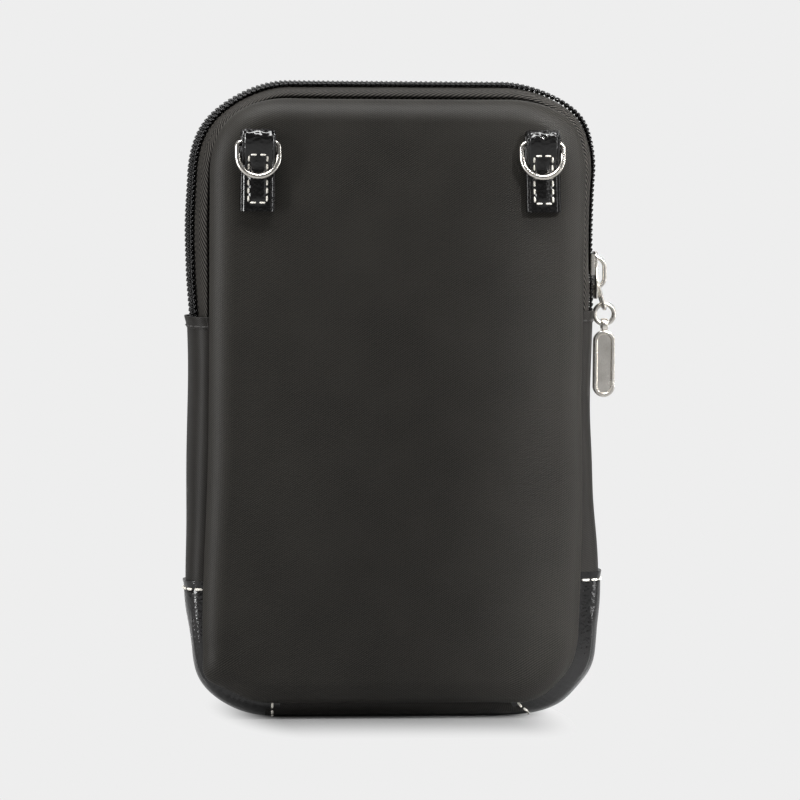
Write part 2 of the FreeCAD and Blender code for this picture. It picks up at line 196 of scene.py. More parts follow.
# Slider and pull
slider_foot = low("zip_slider")[2]
slider_top = high("zip_slider")[2]
slider_wide = high("zip_slider")[1]
slider_narrow = 3.6
slider_fades = (0.34, 0.75)
slider_corner = 1.6
plate_levels = (0.95, 1.85)
keel_levels = (-3.65, -2.65)
plate_ease = 0.4
plate_thinning = 0.25
flange_length = 6.9
flange_end = 0.7
flange_level = 0.4
flange_place = 3.2
neck_levels = (-3.0, 1.2)
neck_height = 2.2
bail_foot = low("slider_bail")[2]
bail_top = high("slider_bail")[2]
bail_reach = high("slider_bail")[0] - half_width
bail_width = 1.8
bail_thickness = 1.2
bail_corner = 3.4
bail_sink = 0.3
link_wire = 1.0
link_pivot = np.array([low("pull_link")[0] + link_wire / 2, 0.0, high("pull_link")[2] - link_wire / 2])
link_foot = np.array([high("pull_link")[0] - link_wire / 2, 0.0, low("pull_link")[2] + link_wire / 2])
link_half_width = 1.9
link_corner = 1.0
ring_wire = 1.4
ring_middle = (low("pull_ring") + high("pull_ring")) / 2
ring_radius = (high("pull_ring")[0] - low("pull_ring")[0] - ring_wire) / 2
tab_radius = (high("pull_tab")[0] - low("pull_tab")[0]) / 2
eye_ring_radius = 1.625
eye_half_width = 0.9
eye_half_wall = 0.375
eye_height = high("pull_tab")[2] - eye_ring_radius - eye_half_wall
tab_foot = low("pull_tab")[2]
tab_length = eye_height - eye_ring_radius - tab_foot
tab_thickness = 2.2
tab_edge = 0.45
tab_rim = 1.1
tab_recess = 0.35
recess_slope = 0.15

# Strap tabs and D-rings
strap_half_width = (high("strap_tab_right")[0] - low("strap_tab_right")[0]) / 2
strap_place = (high("strap_tab_right")[0] + low("strap_tab_right")[0]) / 2
strap_thickness = 1.3
strap_foot = low("strap_tab_left")[2]
strap_fold_foot = 162.0
strap_fold_ease = 2.0
strap_edge_power = 16
strap_facing = 0.06
loop_outside = (-face_depth - low("strap_tab_left")[1]) / 2
loop_height = high("strap_tab_left")[2] - loop_outside
strap_skews = {"left": 0.0, "right": math.tan(math.radians(2.0))}
crease_bell = (-0.28, 4.15, 0.22)
pucker_bell = (0.09, 25.0, 5.0)
pucker_rate = 4.1
pucker_drift = 2.2
pucker_drift_rate = 1.3
box_half_width = 2.7
box_low = strap_foot + 2.5
box_high = strap_foot + 16.4
box_span = (strap_foot + 1.5, strap_foot + 4.0, strap_fold_foot, strap_fold_foot + 4.0)
box_crown = 0.65
box_groove = (-0.2, box_half_width, 0.4)
box_press = 0.2
d_ring_wire = 1.6
d_ring_half_width = (high("d_ring_left")[0] - low("d_ring_left")[0] - d_ring_wire) / 2
d_ring_corner = 1.5
bar_height = high("d_ring_left")[2] - d_ring_wire / 2
bar_depth = high("d_ring_left")[1] - d_ring_wire / 2
bow_fall = bar_height - low("d_ring_left")[2] - d_ring_wire / 2
bow_reach = bar_depth - low("d_ring_left")[1] - d_ring_wire / 2

# The outline's runs, clockwise from the foot of the left side: straight, bend, straight and so on
top_side = half_width - top_corner_radius
base_side = half_width - bottom_corner_radius
top_centre = pouch_height - top_corner_radius
side_run = top_centre - bottom_corner_radius
top_bend = math.pi / 2 * top_corner_radius
base_bend = math.pi / 2 * bottom_corner_radius
run_lengths = (side_run, top_bend, 2 * top_side, top_bend, side_run, base_bend, 2 * base_side, base_bend)
run_points = (70, 26, 34, 26, 70, 24, 36, 24)
run_starts = np.concatenate([[0.0], np.cumsum(run_lengths)])
run_bends = np.array([0, 1 / top_corner_radius] * 2 + [0, 1 / bottom_corner_radius] * 2)
run_headings = np.radians([90.0, 90.0, 0.0, 0.0, -90.0, -90.0, -180.0, -180.0])
run_x = np.array([-half_width, -half_width, -top_side, top_side,
                  half_width, half_width, base_side, -base_side])
run_z = np.array([bottom_corner_radius, top_centre, pouch_height, pouch_height,
                  top_centre, bottom_corner_radius, 0.0, 0.0])
left_end, top_start, top_end, right_start, right_end, base_start, base_end, outline_length = run_starts[1:]
zip_start = fold_height - bottom_corner_radius
zip_end = right_end - zip_start
patch_run = patch_top - bottom_corner_radius

# How far the seam draws a panel's edge in along the outline; less than 0 where the padding fills it out
edge_steps = ((0.7, (left_end, top_start, top_end, right_start)),
              (0.1, (right_end + 0.6 * base_bend, base_start, base_end, base_end + 0.4 * base_bend)),
              (-1.3, (right_start + 55, right_start + 105, right_end + 10, right_end + 30)))
edge_bells = ((-2.8, outline_length - 0.37 * base_bend, 6), (-1.2, right_end + 0.69 * base_bend, 8),
              (-1.5, left_end + 0.5 * top_bend, 14), (-0.7, top_end + 0.5 * top_bend, 14))


def metres(*lengths):
    """Millimetres in metres."""
    return tuple(length * MILLIMETRE for length in lengths)


def smooth(value, start, end):
    """Share that goes smoothly from 0 at start to 1 at end."""
    share = np.clip((value - start) / (end - start), 0, 1)
    return share * share * (3 - 2 * share)


def between(value, start, full, fading, end):
    """Share that rises smoothly over the start of a span and falls over its end."""
    return smooth(value, start, full) * (1 - smooth(value, fading, end))


def bell(value, size, place, spread):
    """Bell curve of a size about a place."""
    return size * np.exp(-(((value - place) / spread) ** 2))


def bells(value, several):
    """Sum of bells."""
    return sum(bell(value, *one) for one in several)


def joined(*parts):
    """Points from their coordinates."""
    return np.stack(np.broadcast_arrays(*parts), -1)


def spaced(count, spacing):
    """Places a spacing apart, about 0."""
    return spacing * (np.arange(count) - (count - 1) / 2)


def arc(first, second, radius, start, end, count):
    """Arc in a plane, by its centre and radius, from one turn to another in degrees."""
    turn = np.radians(np.linspace(start, end, count))
    return joined(first + radius * np.cos(turn), second + radius * np.sin(turn))


def crown(distance):
    """Point and outward direction of the outline at a distance along it.

    A run bends at a steady rate, so the chord to a point t along it has the length t sinc(turn / 2)
    and the heading half way through the turn."""
    distance = np.mod(distance, outline_length)
    run = np.searchsorted(run_starts[1:-1], distance, side="right")
    along = distance - run_starts[run]
    turn = along * run_bends[run]
    middle = run_headings[run] - turn / 2
    chord = along * np.sinc(turn / 2 / math.pi)
    point = joined(run_x[run] + chord * np.cos(middle), run_z[run] + chord * np.sin(middle))
    heading = run_headings[run] - turn
    return point, joined(-np.sin(heading), np.cos(heading))


def settled(points):
    """Soft pieces as they stand: the foot is twisted to the left, which shifts each point along X by a share
    of its depth, and each side of the gusset swells by bells up its height, a shift that fades towards the
    seams and with the square of the distance from the middle. The right side is stretched in the same way
    over its whole depth, and the top sags."""
    x, depth, z = points[..., 0], points[..., 1], points[..., 2]
    twist = foot_twist * (1 - smooth(z, *twist_fades))
    gusset_share = 1 - smooth(np.abs(depth), *seam_fades)
    left = bells(z, left_swells) * gusset_share
    right = bells(z, right_swells) * gusset_share + bells(z, right_stretch)
    moved = points.copy()
    moved[..., 0] += np.where(x < 0, -left, right) * (x / half_width) ** 2 + twist * depth
    moved[..., 2] -= top_sag * smooth(z, sag_start, pouch_height)
    return moved


def place(distance, depth, level):
    """Points at a distance along the outline, a depth along Y and a level outward of the outline."""
    distance, depth, level = np.broadcast_arrays(distance, depth, level)
    point, outward = crown(distance)
    x, z = np.moveaxis(point + outward * level[..., None], -1, 0)
    return settled(joined(x, depth, z))


def grid_faces(rows, columns, ring=False, loop=False):
    """Faces of a grid of points, row by row; ring joins its last column to its first, loop its rows."""
    number = np.arange(rows * columns).reshape(rows, columns)
    if ring:
        number = np.hstack([number, number[:, :1]])
    if loop:
        number = np.vstack([number, number[:1]])
    corners = [number[:-1, :-1], number[1:, :-1], number[1:, 1:], number[:-1, 1:]]
    return np.stack(corners, -1).reshape(-1, 4)


def unit(vectors):
    """Vectors of length 1."""
    return vectors / np.linalg.norm(vectors, axis=-1, keepdims=True)


def running(points):
    """Length along a row of points, from 0 at its start."""
    steps = np.linalg.norm(np.diff(points, axis=0), axis=-1)
    return np.concatenate([[0.0], np.cumsum(steps)])


def at_length(row, lengths, wanted):
    """Values of a row at wanted lengths along it, by straight steps."""
    return np.stack([np.interp(wanted, lengths, values) for values in row.T], -1)


def shell(outer, thickness, lay):
    """Closed sheet: a surface, the same surface moved inwards along its normals, and the rim between them.
    The normal is the product of the steps down the rows and along the columns."""
    rows, columns = outer.shape[:2]
    normal = unit(np.cross(np.gradient(outer, axis=0), np.gradient(outer, axis=1)))
    inner = outer - normal * thickness
    count = rows * columns
    number = np.arange(count).reshape(rows, columns)
    rim = np.concatenate([number[0, :-1], number[:-1, -1], number[-1, :0:-1], number[:0:-1, 0]])
    after = np.roll(rim, -1)
    faces = grid_faces(rows, columns)
    rim_faces = joined(rim, after, after + count, rim + count)
    points = np.concatenate([outer.reshape(-1, 3), inner.reshape(-1, 3)])
    return points, [faces, faces[:, ::-1] + count, rim_faces], np.tile(lay.reshape(-1, 2), (2, 1))


def swept(path, towards, section, loop=False):
    """Closed solid of a section carried along a path; each point of the path can have its own section.

    The section's first axis points towards a given direction, as far as it is square to the path, and its
    second axis is square to both."""
    rows, columns = len(path), section.shape[-2]
    step = np.roll(path, -1, 0) - np.roll(path, 1, 0) if loop else np.gradient(path, axis=0)
    tangent = unit(step)
    second = unit(np.cross(tangent, np.broadcast_to(towards, path.shape)))
    first = np.cross(second, tangent)
    points = path[:, None] + section[..., :1] * first[:, None] + section[..., 1:] * second[:, None]
    faces = [grid_faces(rows, columns, ring=True, loop=loop)[:, ::-1]]
    if not loop:
        end = np.arange(columns)[None]
        faces += [end[:, ::-1], end + (rows - 1) * columns]
    middle = np.broadcast_to(section, (rows, columns, 2))[rows // 2]
    around = running(np.vstack([middle, middle[:1]]))[:-1]
    lay = joined(running(path)[:, None], around)
    return points.reshape(-1, 3), faces, lay.reshape(-1, 2)


def rounded(half_first, half_second, sides, squareness=1.0):
    """Section from ellipse to rounded oblong: cosine and sine raised to the squareness, times half sizes."""
    turn = np.linspace(0, 2 * math.pi, sides, endpoint=False)
    circle = joined(np.cos(turn), np.sin(turn))
    return np.sign(circle) * np.abs(circle) ** squareness * (half_first, half_second)


def piece(name, parts, material, nodes=(), body="pouch", bevel=0.0, sharp=40.0):
    """Mesh object from closed parts, each its points in millimetres, its faces and its lay on the cloth.
    A piece without a body of its own belongs to the front. It is attached to no body, and its place is baked
    into its mesh."""
    points, faces, lays, count = [], [], [], 0
    for part_points, part_faces, lay in parts:
        points.append(part_points)
        lays.append(lay)
        for block in part_faces:
            faces.extend((block + count).tolist())
        count += len(part_points)
    mesh = bpy.data.meshes.new(name)
    mesh.from_pydata((np.concatenate(points) * MILLIMETRE).tolist(), [], faces)
    corner = np.zeros(len(mesh.loops), np.int32)
    mesh.loops.foreach_get("vertex_index", corner)
    cloth = mesh.uv_layers.new(name="cloth")
    cloth.data.foreach_set("uv", np.concatenate(lays)[corner].astype(np.float32).ravel())

    solid = bmesh.new()
    solid.from_mesh(mesh)
    bmesh.ops.remove_doubles(solid, verts=solid.verts, dist=1e-8)
    if solid.calc_volume(signed=True) < 0:
        bmesh.ops.reverse_faces(solid, faces=solid.faces)
    solid.to_mesh(mesh)
    solid.free()
    mesh.shade_smooth()
    mesh.set_sharp_from_angle(angle=math.radians(sharp))
    mesh.materials.append(material)
    made = bpy.data.objects.new(name, mesh)
    bpy.context.scene.collection.objects.link(made)
    if bevel:
        edges = made.modifiers.new("eased edges", "BEVEL")
        edges.width = bevel * MILLIMETRE
        edges.segments = 2
        edges.limit_method = "ANGLE"
        edges.angle_limit = math.radians(sharp)
    if nodes:
        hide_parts(*nodes)
    if body:
        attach(made, body)
    else:
        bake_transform(made)
    return made


# Materials


def linear(code):
    """Linear colour of an sRGB hex value."""
    values = [int(code[at:at + 2], 16) / 255 for at in (1, 3, 5)]
    return [v / 12.92 if v <= 0.04045 else ((v + 0.055) / 1.055) ** 2.4 for v in values] + [1.0]


def node(tree, kind, links, **settings):
    """Adds a node with its settings; each link is a value to set or a socket to join."""
    made = tree.nodes.new("ShaderNode" + kind)
    for key, value in settings.items():
        setattr(made, key, value)
    for key, value in links.items():
        if isinstance(value, bpy.types.NodeSocket):
            tree.links.new(value, made.inputs[key])
        else:
            made.inputs[key].default_value = value
    return made.outputs


def emptied(owner):
    """Empties the node tree of a material or a world, and gives the function that adds a node to it."""
    owner.use_nodes = True
    owner.node_tree.nodes.clear()
    return functools.partial(node, owner.node_tree)


def surface(name, dark, light, pattern, *choices):
    """Material of one shader: the pattern adds nodes and gives the light colour's share and other links."""
    made = bpy.data.materials.new(name)
    add = emptied(made)
    share, links = pattern(add, *choices)
    colour = add("Mix", {0: share, 6: linear(dark), 7: linear(light)}, data_type="RGBA")[2]
    shader = add("BsdfPrincipled", {"Base Color": colour, **links})[0]
    add("OutputMaterial", {"Surface": shader})
    return made


def stripes(add, spot, direction, pitch):
    """Wave from 0 to 1 across straight stripes: half of 1 plus the sine of the place along a direction."""
    rate = 2 * math.pi / pitch
    across = (direction[0] * rate, direction[1] * rate, 0)
    along = add("VectorMath", {0: spot, 1: across}, operation="DOT_PRODUCT")["Value"]
    wave = add("Math", {0: along}, operation="SINE")[0]
    return add("Math", {0: wave, 1: 0.5, 2: 0.5}, operation="MULTIPLY_ADD")[0]


def nylon_twill(add, rib_angle):
    """Woven nylon twill, satin black: slanting ribs of thread, broken into short floats, catch the light."""
    cloth = add("UVMap", {}, uv_map="cloth")[0]
    # The ribs are 0.45 mm apart on the real cloth and are drawn at 0.55 mm, so that they show
    rib_pitch, float_pitch = 0.55, 0.7
    float_depth, fleck_share, cloud_share = 0.35, 0.5, 0.4
    angle = math.radians(rib_angle)
    ribs = stripes(add, cloth, (-math.sin(angle), math.cos(angle)), rib_pitch)
    floats = stripes(add, cloth, (1.0, 0.0), float_pitch)
    flecks = add("TexNoise", {"Vector": cloth, "Scale": 1.4, "Detail": 3.0, "Roughness": 0.6})[0]
    clouds = add("TexNoise", {"Vector": cloth, "Scale": 0.05, "Detail": 2.0, "Roughness": 0.5})[0]
    broken = add("Math", {0: floats, 1: float_depth, 2: 1 - float_depth}, operation="MULTIPLY_ADD")[0]
    thread = add("Math", {0: ribs, 1: broken}, operation="MULTIPLY")[0]
    uneven = add("Math", {0: flecks, 1: fleck_share, 2: thread}, operation="MULTIPLY_ADD")[0]
    shade = add("Math", {0: clouds, 1: cloud_share, 2: uneven}, operation="MULTIPLY_ADD")[0]
    share = add("MapRange", {"Value": shade, "From Min": 0.3, "From Max": 1.25})[0]
    bump = add("Bump", {"Height": uneven, "Strength": 0.35, "Distance": 0.08 * MILLIMETRE})[0]
    rough = add("MapRange", {"Value": uneven, "To Min": 0.62, "To Max": 0.46})[0]
    return share, {"Roughness": rough, "Normal": bump, "Specular IOR Level": 0.2,
                   "Sheen Weight": 0.03, "Sheen Roughness": 0.4}


def plain_weave(add):
    """Plain woven polyester lining, dull: a fine even checker of over and under threads."""
    cloth = add("UVMap", {}, uv_map="cloth")[0]
    # Threads are 0.35 mm apart on the real cloth and are drawn at 0.8 mm, so that they show
    thread_pitch = 0.8
    warp = stripes(add, cloth, (1.0, 0.0), thread_pitch)
    weft = stripes(add, cloth, (0.0, 1.0), thread_pitch)
    over = add("Math", {0: warp, 1: weft}, operation="SUBTRACT")[0]
    height = add("Math", {0: over}, operation="ABSOLUTE")[0]
    flecks = add("TexNoise", {"Vector": cloth, "Scale": 0.4, "Detail": 4.0})[0]
    share = add("Math", {0: flecks, 1: height}, operation="MULTIPLY")[0]
    bump = add("Bump", {"Height": height, "Strength": 0.3, "Distance": 0.06 * MILLIMETRE})[0]
    return share, {"Roughness": 0.75, "Normal": bump, "Specular IOR Level": 0.25}


def herringbone_tape(add):
    """Woven polyester zip tape: stripes of steep ribs that lean to and fro, so that they make arrows."""
    cloth = add("UVMap", {}, uv_map="cloth")[0]
    stripe_width, rib_pitch, rib_slope, fleck_share = 4.2, 1.6, 1.5, 0.6
    along_across = add("SeparateXYZ", {0: cloth})
    from_edge = add("Math", {0: along_across[1], 1: stripe_width / 2}, operation="ADD")[0]
    lean = add("Math", {0: from_edge, 1: stripe_width}, operation="PINGPONG")[0]
    leaning = add("CombineXYZ", {0: along_across[0], 1: lean})[0]
    ribs = stripes(add, leaning, (1.0, rib_slope), rib_pitch)
    flecks = add("TexNoise", {"Vector": cloth, "Scale": 1.6, "Detail": 3.0})[0]
    uneven = add("Math", {0: flecks, 1: fleck_share, 2: 1 - fleck_share}, operation="MULTIPLY_ADD")[0]
    height = add("Math", {0: ribs, 1: uneven}, operation="MULTIPLY")[0]
    share = add("MapRange", {"Value": height, "From Min": 0.2, "From Max": 0.65})[0]
    bump = add("Bump", {"Height": ribs, "Strength": 0.6, "Distance": 0.15 * MILLIMETRE})[0]
    return share, {"Roughness": 0.68, "Normal": bump, "Specular IOR Level": 0.15}


def glossy_leather(add):
    """Finished cow leather, black and glossed: pebbles of grain, pores and shallow wrinkles glint."""
    spot = add("TexCoord", {})["Object"]
    grain_width, wrinkle_width = metres(0.9, 6.0)
    pores_per_grain, pebble_share, pore_share = 2.5, -0.8, 0.25
    cells = add("TexVoronoi", {"Vector": spot, "Scale": 1 / grain_width, "Randomness": 0.9},
                feature="SMOOTH_F1")[0]
    pores = add("TexNoise", {"Vector": spot, "Scale": pores_per_grain / grain_width, "Detail": 2.0})[0]
    wrinkles = add("TexNoise", {"Vector": spot, "Scale": 1 / wrinkle_width, "Detail": 4.0,
                                "Roughness": 0.55, "Distortion": 0.6})[0]
    pebbles = add("Math", {0: cells, 1: pebble_share, 2: wrinkles}, operation="MULTIPLY_ADD")[0]
    height = add("Math", {0: pores, 1: pore_share, 2: pebbles}, operation="MULTIPLY_ADD")[0]
    bump = add("Bump", {"Height": height, "Strength": 0.5, "Distance": 0.2 * MILLIMETRE})[0]
    share = add("MapRange", {"Value": wrinkles, "From Min": 0.3, "From Max": 0.7})[0]
    rough = add("MapRange", {"Value": height, "From Min": -0.4, "From Max": 0.7,
                             "To Min": 0.26, "To Max": 0.11})[0]
    return share, {"Roughness": rough, "Normal": bump, "Specular IOR Level": 0.65}


def coil_nylon(add):
    """Nylon monofilament of the zip, black: smooth and glossy, with faint drawing marks along it."""
    cloth = add("UVMap", {}, uv_map="cloth")[0]
    marks = add("TexNoise", {"Vector": cloth, "Scale": 2.0, "Detail": 2.0})[0]
    rough = add("MapRange", {"Value": marks, "To Min": 0.12, "To Max": 0.24})[0]
    return marks, {"Roughness": rough, "Specular IOR Level": 0.35}


def polished_nickel(add):
    """Nickel plate on die-cast zinc, polished: a bright warm mirror with faint wiping marks and blotches."""
    spot = add("TexCoord", {})["Object"]
    blotch_width, mark_width = metres(3.0, 0.4)
    blotch = add("TexNoise", {"Vector": spot, "Scale": 1 / blotch_width, "Detail": 3.0})[0]
    marks = add("TexNoise", {"Vector": spot, "Scale": 1 / mark_width, "Detail": 2.0})[0]
    rough = add("MapRange", {"Value": blotch, "To Min": 0.2, "To Max": 0.3})[0]
    bump = add("Bump", {"Height": marks, "Strength": 0.03, "Distance": 0.02 * MILLIMETRE})[0]
    return blotch, {"Metallic": 1.0, "Roughness": rough, "Normal": bump}


def sewing_thread(add):
    """Twisted polyester thread: dull, with slanting plies along each stitch."""
    cloth = add("UVMap", {}, uv_map="cloth")[0]
    # The plies are 0.25 mm apart on the real thread and are drawn at 0.5 mm, so that they show
    ply_pitch, ply_slant = 0.5, (0.8, 0.6)
    plies = stripes(add, cloth, ply_slant, ply_pitch)
    flecks = add("TexNoise", {"Vector": cloth, "Scale": 3.0, "Detail": 2.0})[0]
    share = add("Math", {0: flecks, 1: plies}, operation="ADD", use_clamp=True)[0]
    bump = add("Bump", {"Height": plies, "Strength": 0.5, "Distance": 0.08 * MILLIMETRE})[0]
    return share, {"Roughness": 0.65, "Normal": bump, "Sheen Weight": 0.15}


panel_cloth = surface("nylon_twill_panel", "#080707", "#35332f", nylon_twill, 33.0)
gusset_cloth = surface("nylon_twill_gusset", "#0b0a0a", "#292724", nylon_twill, 57.0)
lining_cloth = surface("polyester_plain_weave_lining", "#1c1b1a", "#3b3936", plain_weave)
tape_cloth = surface("polyester_herringbone_tape", "#020202", "#474440", herringbone_tape)
leather = surface("cow_leather_glossed", "#040404", "#0c0b0b", glossy_leather)
monofilament = surface("nylon_monofilament_coil", "#050505", "#0e0d0d", coil_nylon)
nickel = surface("nickel_plate_polished", "#dbd6ce", "#eeeae3", polished_nickel)
white_thread = surface("polyester_thread_white", "#a9a398", "#efebe1", sewing_thread)
black_thread = surface("polyester_thread_black", "#0b0b0b", "#33312f", sewing_thread)


# Padded panels and their linings


def drawn_in(distance):
    """How far the seam draws a panel's edge in along the outline: the sum of the edge's steps and bells."""
    steps = sum(size * between(distance, *span) for size, span in edge_steps)
    return steps + bells(distance, edge_bells)


def ringed(inset, depth, gather, relief=None):
    """Closed solid of rings that follow the outline, moved inwards by an inset, at a depth.

    Past the gather inset the rings close on a spine, an upright line in the middle of the panel:
    each point goes a share of the way to the nearest point of the spine. Where there is a relief, the rings
    near the edge are also drawn in by the seam."""
    distance = np.concatenate([np.linspace(start, end, count, endpoint=False)
                               for start, end, count in zip(run_starts[:-1], run_starts[1:], run_points)])
    flat_inset = running(joined(inset, depth))
    flat_inset += inset[-1] - flat_inset[-1]
    inset, share = inset[:, None], gather[:, None]
    edge_share = 0.0 if relief is None else 1 - smooth(inset, panel_inset + edge_fade, gather_inset)
    points = place(distance, depth[:, None], -inset - edge_share * drawn_in(distance))
    edge, outward = crown(distance)
    lay = edge - outward * flat_inset[:, None, None]
    for flat, up in ((points, 2), (lay, 1)):
        spine = np.clip(flat[..., up], half_width, pouch_height - half_width)
        flat[..., 0] *= 1 - share
        flat[..., up] += share * (spine - flat[..., up])
    if relief is not None:
        points[..., 1] += relief(points[..., 0], points[..., 2]) * smooth(inset, panel_inset, gather_inset)
    faces = grid_faces(len(inset), len(distance), ring=True)
    return points.reshape(-1, 3), [faces], lay.reshape(-1, 2)


def panel_pad(name, side, relief, nodes, body):
    """Padded panel: a back face, an edge that turns from a tight tuck at the seam to a wide roll, and a face
    with a low relief. The edge is summed up from small turns, and its radius grows with the turn."""
    back, rings, face = 3, 40, 11
    turn = np.radians(np.linspace(*roll_turns, rings))
    radius = tuck_radius + (roll_radius - tuck_radius) * smooth(turn, *roll_fades)
    inwards = np.cumsum(radius * np.sin(turn)) * (turn[1] - turn[0])
    outwards = np.cumsum(radius * np.cos(turn)) * (turn[1] - turn[0])
    roll_inset = panel_inset + inwards - inwards.min()
    roll_depth = face_depth + outwards - outwards[-1]
    back_inset = np.linspace(gather_inset, roll_inset[0], back + 1)[:-1]
    face_inset = np.linspace(roll_inset[-1], gather_inset, face + 1)[1:]
    inset = np.concatenate([np.full(back, gather_inset), back_inset, roll_inset,
                            face_inset, np.full(face, gather_inset)])
    depth = np.concatenate([np.full(2 * back, roll_depth[0]), roll_depth, np.full(2 * face, face_depth)])
    gather = np.concatenate([np.linspace(1, 0, back + 1)[:-1], np.zeros(back + rings + face),
                             np.linspace(0, 1, face + 1)[1:]])
    on_face = smooth(np.arange(len(inset)), 2 * back, 2 * back + rings)[:, None]

    def shaped(x, z):
        return side * relief(x, z) * on_face

    part = ringed(inset, side * depth, gather, shaped)
    made = piece(name, [part], panel_cloth, nodes, body, sharp=180.0)
    return made


def slack(x, z):
    """Low crown of the foam, cosines over the width and height, with slack waves, a product of sines."""
    across = np.cos(x / crown_half_width * math.pi / 2)
    upward = np.cos((z - pouch_height / 2) / crown_half_height * math.pi / 2)
    waves = math.prod(np.sin(x / wide + z / tall + start) for wide, tall, start in slack_waves)
    return panel_crown * across * upward + slack_rise * waves


def back_relief(x, z):
    """Slack face, raised on a low plateau and pressed in where the strap tabs are sewn down."""
    tab_middle = (strap_foot + bar_height) / 2
    dent = bell(np.abs(x), 1, strap_place, dent_width) * bell(z, 1, tab_middle, dent_height)
    plateau = bell(z, *plateau_bell) * between(x, *plateau_span)
    return (slack(x, z) + plateau) * (1 - dent)


def panel_lining(name, side, nodes, body):
    """Flat lining behind a panel: two faces a thickness apart that close on the spine."""
    closing = np.linspace(0, 1, 6)
    gather = np.concatenate([closing[::-1], closing])
    inset = np.where(gather > 0, gather_inset, lining_inset)
    depth = np.repeat([lining_depth - lining_thickness, lining_depth], len(closing))
    part = ringed(inset, side * depth, gather)
    made = piece(name, [part], lining_cloth, nodes, body, sharp=60.0)


back_pad = panel_pad("back_panel_pad", -1, back_relief, ("back_panel", "back_foam"), "pouch")
front_nodes = ("front_panel_lower", "front_panel_upper", "front_foam_lower", "front_foam_upper")
panel_pad("front_panel_pad", 1, slack, front_nodes, None)
panel_lining("back_lining_sheet", -1, ("back_lining",), "pouch")
panel_lining("front_lining_sheet", 1, ("front_lining_lower", "front_lining_upper"), None)


# Gusset, leather corners and hems


def arch(half_depth, rise, leg, count=49):
    """Section of the gusset: an arch whose depth and level are the sine and cosine raised to the squareness,
    with legs that go in along the seams."""
    turn = np.linspace(-math.pi / 2, math.pi / 2, count)
    depth = half_depth * np.sign(turn) * np.abs(np.sin(turn)) ** shoulder_squareness
    level = rise * (np.abs(np.cos(turn)) ** shoulder_squareness - 1)
    depth = np.concatenate([[-half_depth], depth, [half_depth]])
    level = np.concatenate([[-rise - leg], level, [-rise - leg]])
    return depth, level


def strip(distance, depth, level, thickness):
    """Strip of cloth or leather, and its width: a section carried along the outline."""
    outer = place(distance[:, None], depth, level)
    across = running(outer[len(distance) // 2])
    lay = joined(distance[:, None], across - across[-1] / 2)
    return shell(outer, thickness, lay), across[-1]


def gusset(name, start, end, node_name):
    """One length of the nylon gusset between the two panels, with the hem at its end."""
    depth, level = arch(seam_depth - seam_sink, shoulder, seam_leg)
    part, width = strip(np.linspace(start, end, 90), depth, level, nylon_thickness)
    made = piece(name, [part], gusset_cloth, (node_name,))


def gusset_lining():
    """Lining inside the gusset, from one end of the zip under the base to the other end."""
    depth, level = arch(lining_depth - lining_thickness, shoulder, lining_leg)
    start, end = zip_end, outline_length + zip_start
    part, width = strip(np.linspace(start, end, 260), depth, level - lining_drop, lining_thickness)
    made = piece("gusset_lining_strip", [part], lining_cloth, ("gusset_lining",))


def thread_row(line, middles, length, width):
    """Row of stitches: line(place, height) gives a point of the seam at a height above the surface.
    Each stitch is a bead along it, highest in its middle and drawn in at both ends."""
    end_draw, top_share, end_dip = 0.92, 0.38, 0.55
    slanting = (0.31, 0.87, 0.38)
    share = np.linspace(-1, 1, 9)
    taper = np.sqrt(1 - end_draw * share ** 6)
    section = rounded(width / 2, width / 2, 8) * taper[:, None, None]
    height = width * (top_share - end_dip * share ** 4)
    return [swept(line(middle + share * length / 2, height), slanting, section) for middle in middles]


def corner_patch(hand, side):
    """Leather over a lower corner: an arch that stands proud of the cloth, level with it under the base,
    with a ridge along the shoulder and gathers where the leather turns the corner. The pouch stands on the
    stitches under its base, which are pressed into the leather."""
    rise, reach = patch_run + patch_ends[hand][0], base_bend + patch_ends[hand][1]
    corner = right_end if side > 0 else outline_length
    to_corner = np.linspace(-rise, reach, 150)[::side]
    depth, level = arch(seam_depth - seam_sink + patch_widening, shoulder + patch_proud, seam_leg, 73)
    seam_places = (corner_seam_inset - rise, reach - corner_seam_inset)
    edges = ((lip_height, -rise, lip_spread), (-side_groove, seam_places[0], groove_spread),
             (-base_groove, seam_places[1], groove_spread))
    proud = patch_proud * (1 - smooth(to_corner, proud_share * base_bend, base_bend))
    gathers = np.abs(np.sin(to_corner * gather_rate + gather_drift * np.sin(to_corner * gather_drift_rate)))
    gathers = gather_sink * gathers * between(to_corner, *gather_span)
    ridge_share = smooth(np.abs(to_corner - ridge_middle), *ridge_fades)
    outer_level = (level + (proud + bells(to_corner, edges))[:, None]
                   - gathers[:, None] * between(np.abs(depth), *gather_depths)
                   + ridge_share[:, None] * bell(np.abs(depth), *ridge_bell))
    part, width = strip(corner + side * to_corner, depth, outer_level, leather_thickness)
    made = piece(f"corner_leather_{hand}", [part], leather, (f"corner_patch_{hand}",),
                 bevel=0.2)

    def seam_line(at):
        """Line across the leather at a place along it, by the length across and a height above."""
        here = corner + side * at
        row = place(here, depth, outer_level[np.argmin(np.abs(to_corner - at))])
        out = place(here, depth, level + 1.0) - place(here, depth, level)
        out = unit(out + np.outer(depth, (0.0, 0.25, 0.0)))
        across = running(row)

        def line(share, height):
            wanted = share + across[-1] / 2
            raised = at_length(row, across, wanted) + unit(at_length(out, across, wanted)) * height[:, None]
            raised[:, 2] = np.maximum(raised[:, 2], pressed_thread)
            return raised
        return line

    middles = spaced(8, corner_stitch_spacing)
    beads = (thread_row(seam_line(seam_places[0]), middles, length=2.4, width=0.75)
             + thread_row(seam_line(seam_places[1]), middles, length=2.4, width=0.7))
    sewn = piece(f"corner_stitches_{hand}", beads, white_thread)


